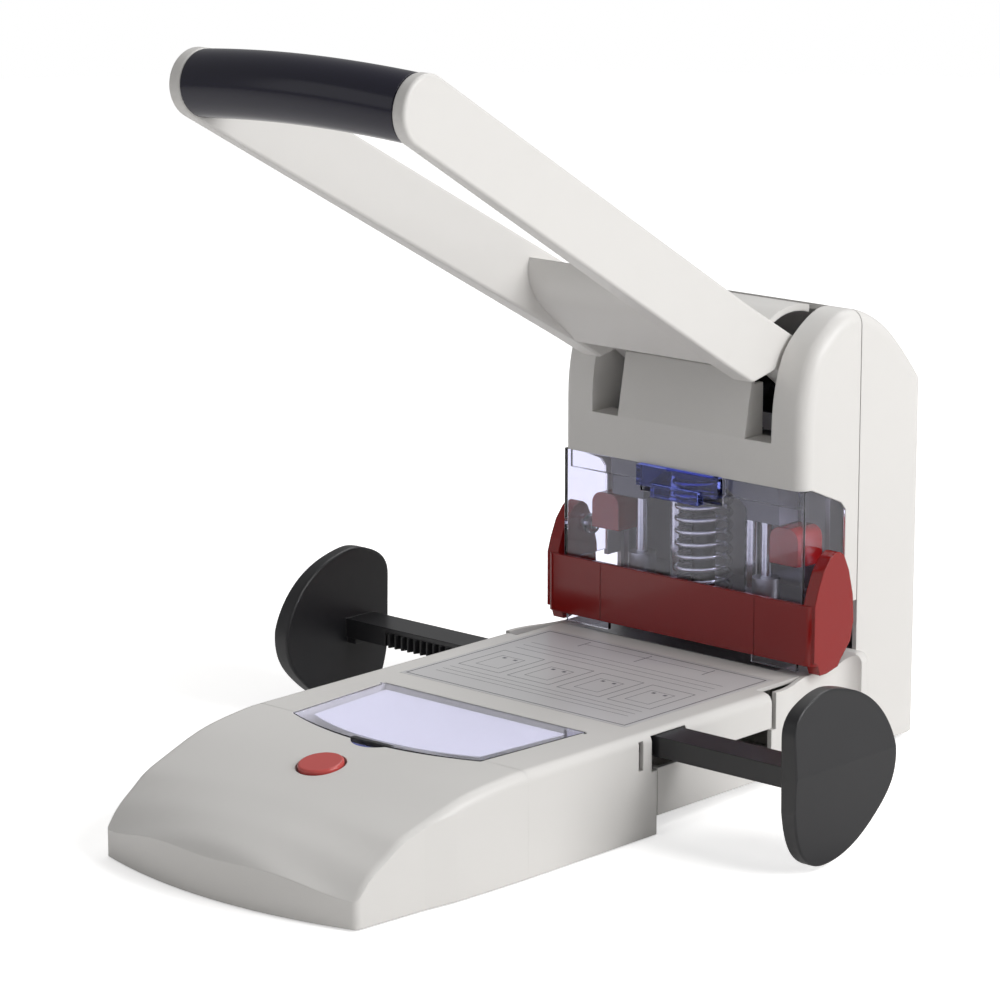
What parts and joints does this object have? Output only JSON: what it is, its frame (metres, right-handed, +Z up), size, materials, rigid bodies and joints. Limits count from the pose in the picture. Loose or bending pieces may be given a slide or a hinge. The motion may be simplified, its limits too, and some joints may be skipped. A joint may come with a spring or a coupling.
{
  "type": "hole punch",
  "caption": "Heavy-duty two-hole paper punch worked by a long forked lever, with a paper table, side gauges, a clear guard and a red hold-down bar.",
  "frame": {"origin": "middle of the footprint, on the desk", "axes": "+X to the operator's right, +Y from the nose to the tower, +Z up"},
  "size_m": [0.359, 0.426, 0.37],
  "materials": {
    "shell_plastic": "light warm grey moulded plastic, satin",
    "label_print": "printed sheet",
    "clear_lid": "clear plastic with a lavender tint",
    "clear_guard": "clear plastic with a lavender tint",
    "blue_plastic": "translucent blue, glossy",
    "red_plastic": "dark red, glossy",
    "gauge_plastic": "black, satin",
    "grip_plastic": "very dark navy, glossy",
    "lever_metal": "light warm grey enamel on cast aluminium",
    "grey_casting": "blasted casting",
    "tool_steel": "ground",
    "zinc_steel": "zinc plated",
    "dark_steel": "blackened",
    "polished_steel": "ground and polished",
    "spring_steel": "drawn wire",
    "bush_brass": "turned",
    "foot_rubber": "matt black"
  },
  "bodies": {
    "base": {"front_housing": "shell_plastic", "table_label": "label_print", "spare_punches": "tool_steel", "base_tray": "shell_plastic", "base_plate": "zinc_steel", "rubber_feet": "foot_rubber", "base_screws": "zinc_steel", "pinion_screw": "zinc_steel", "tower_front_shell": "shell_plastic", "tower_rear_shell": "shell_plastic", "shell_screws": "zinc_steel", "side_frame_right": "zinc_steel", "side_frame_left": "zinc_steel", "shaft_bush_right": "bush_brass", "shaft_bush_left": "bush_brass", "tie_brackets": "zinc_steel", "stripper_plate": "dark_steel", "guide_rods": "polished_steel", "spring_post": "dark_steel", "anvil": "dark_steel", "back_stop": "zinc_steel", "return_spring": "spring_steel"},
    "lever_body": {"lever": "lever_metal", "lever_grip": "grip_plastic", "grip_rod": "polished_steel", "pivot_shaft": "polished_steel", "gear_sector": "dark_steel", "shaft_nuts": "zinc_steel"},
    "crosshead_body": {"crosshead": "grey_casting", "punch_right": "tool_steel", "punch_left": "tool_steel"},
    "clip_right_body": {"punch_clip_right": "red_plastic"},
    "clip_left_body": {"punch_clip_left": "red_plastic"},
    "gauge_right_body": {"gauge_right": "gauge_plastic"},
    "gauge_left_body": {"gauge_left": "gauge_plastic"},
    "pinion_body": {"gauge_pinion": "gauge_plastic"},
    "button_body": {"push_button": "red_plastic"},
    "lid_body": {"compartment_lid": "clear_lid", "lid_tab": "blue_plastic", "lid_card": "label_print"},
    "drawer_body": {"chip_drawer": "shell_plastic"},
    "guard_body": {"guard": "clear_guard", "hold_down_pins": "polished_steel"},
    "latch_body": {"guard_latch": "blue_plastic"},
    "bar_body": {"hold_down_bar": "red_plastic", "hold_down_pads": "clear_guard"}
  },
  "joints": [
    {"name": "lever_press", "type": "hinge", "parent": "base", "child": "lever_body", "pos_m": [0, 0.1694, 0.1745], "axis": [1, 0, 0], "range_deg": [0, 34], "stiffness_Nm_per_rad": 2, "springref_deg": -91.67},
    {"name": "crosshead_slide", "type": "slide", "parent": "base", "child": "crosshead_body", "axis": [0, 0, -1], "range_m": [0, 0.02502], "deforming": ["return_spring"]},
    {"name": "clip_right_slide", "type": "slide", "parent": "crosshead_body", "child": "clip_right_body", "axis": [1, 0, 0], "range_m": [0, 0.005]},
    {"name": "clip_left_slide", "type": "slide", "parent": "crosshead_body", "child": "clip_left_body", "axis": [-1, 0, 0], "range_m": [0, 0.005]},
    {"name": "gauge_right_slide", "type": "slide", "parent": "base", "child": "gauge_right_body", "axis": [1, 0, 0], "range_m": [-0.065, 0]},
    {"name": "gauge_left_slide", "type": "slide", "parent": "base", "child": "gauge_left_body", "axis": [-1, 0, 0], "range_m": [-0.0655, 0.0005]},
    {"name": "gauge_pinion_turn", "type": "hinge", "parent": "base", "child": "pinion_body", "pos_m": [0, 0.0305, 0.0389], "axis": [0, 0, 1], "range_deg": [-191, 1]},
    {"name": "button_press", "type": "slide", "parent": "base", "child": "button_body", "axis": [0, 0.165, -0.9863], "range_m": [0, 0.0025], "stiffness_N_per_m": 400, "springref_m": -0.001},
    {"name": "lid_hinge", "type": "hinge", "parent": "base", "child": "lid_body", "pos_m": [0, -0.0333, 0.05], "axis": [-1, 0, 0], "range_deg": [0, 100]},
    {"name": "drawer_slide", "type": "slide", "parent": "base", "child": "drawer_body", "axis": [-1, 0, 0], "range_m": [0, 0.12]},
    {"name": "guard_slide", "type": "slide", "parent": "base", "child": "guard_body", "axis": [0, -1, 0], "range_m": [0, 0.035]},
    {"name": "latch_press", "type": "slide", "parent": "guard_body", "child": "latch_body", "axis": [0, 0, -1], "range_m": [0, 0.0025], "stiffness_N_per_m": 400, "springref_m": -0.001},
    {"name": "bar_lift", "type": "hinge", "parent": "guard_body", "child": "bar_body", "pos_m": [0, 0.132, 0.1], "axis": [-1, 0, 0], "range_deg": [0, 45]}
  ],
  "couplings": [
    {"joint": "crosshead_slide", "follows": "lever_press", "m_per_rad": 0.042},
    {"joint": "gauge_left_slide", "follows": "gauge_right_slide", "ratio": 1},
    {"joint": "gauge_pinion_turn", "follows": "gauge_right_slide", "rad_per_m": 51.02}
  ]
}
